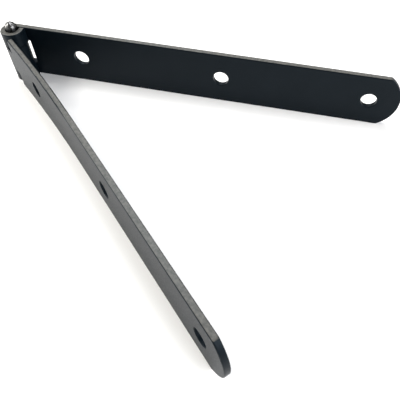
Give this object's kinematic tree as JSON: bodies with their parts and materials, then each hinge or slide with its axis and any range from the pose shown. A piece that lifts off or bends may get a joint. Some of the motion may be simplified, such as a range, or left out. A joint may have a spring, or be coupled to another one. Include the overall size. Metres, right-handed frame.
{
  "type": "strap hinge",
  "caption": "Black strap hinge: two rolled steel straps on one domed pin, with screw holes in a row along each strap.",
  "frame": {"origin": "centre of the middle screw hole of leaf A, on its mounting face", "axes": "+X along leaf A towards its tip, +Y out of leaf A's mounting face, +Z along the pin towards its domed end"},
  "size_m": [0.2171, 0.1568, 0.0342],
  "materials": {
    "black_steel": "satin",
    "bright_steel": "polished"
  },
  "bodies": {
    "fixed_leaf": {"leaf_a": "black_steel", "pin": "bright_steel"},
    "swinging_leaf": {"leaf_b": "black_steel"}
  },
  "joints": [
    {"name": "leaf_swing", "type": "hinge", "parent": "fixed_leaf", "child": "swinging_leaf", "pos_m": [-0.115, -0.006, 0], "axis": [0, 0, -1], "range_deg": [-45, 225]}
  ]
}
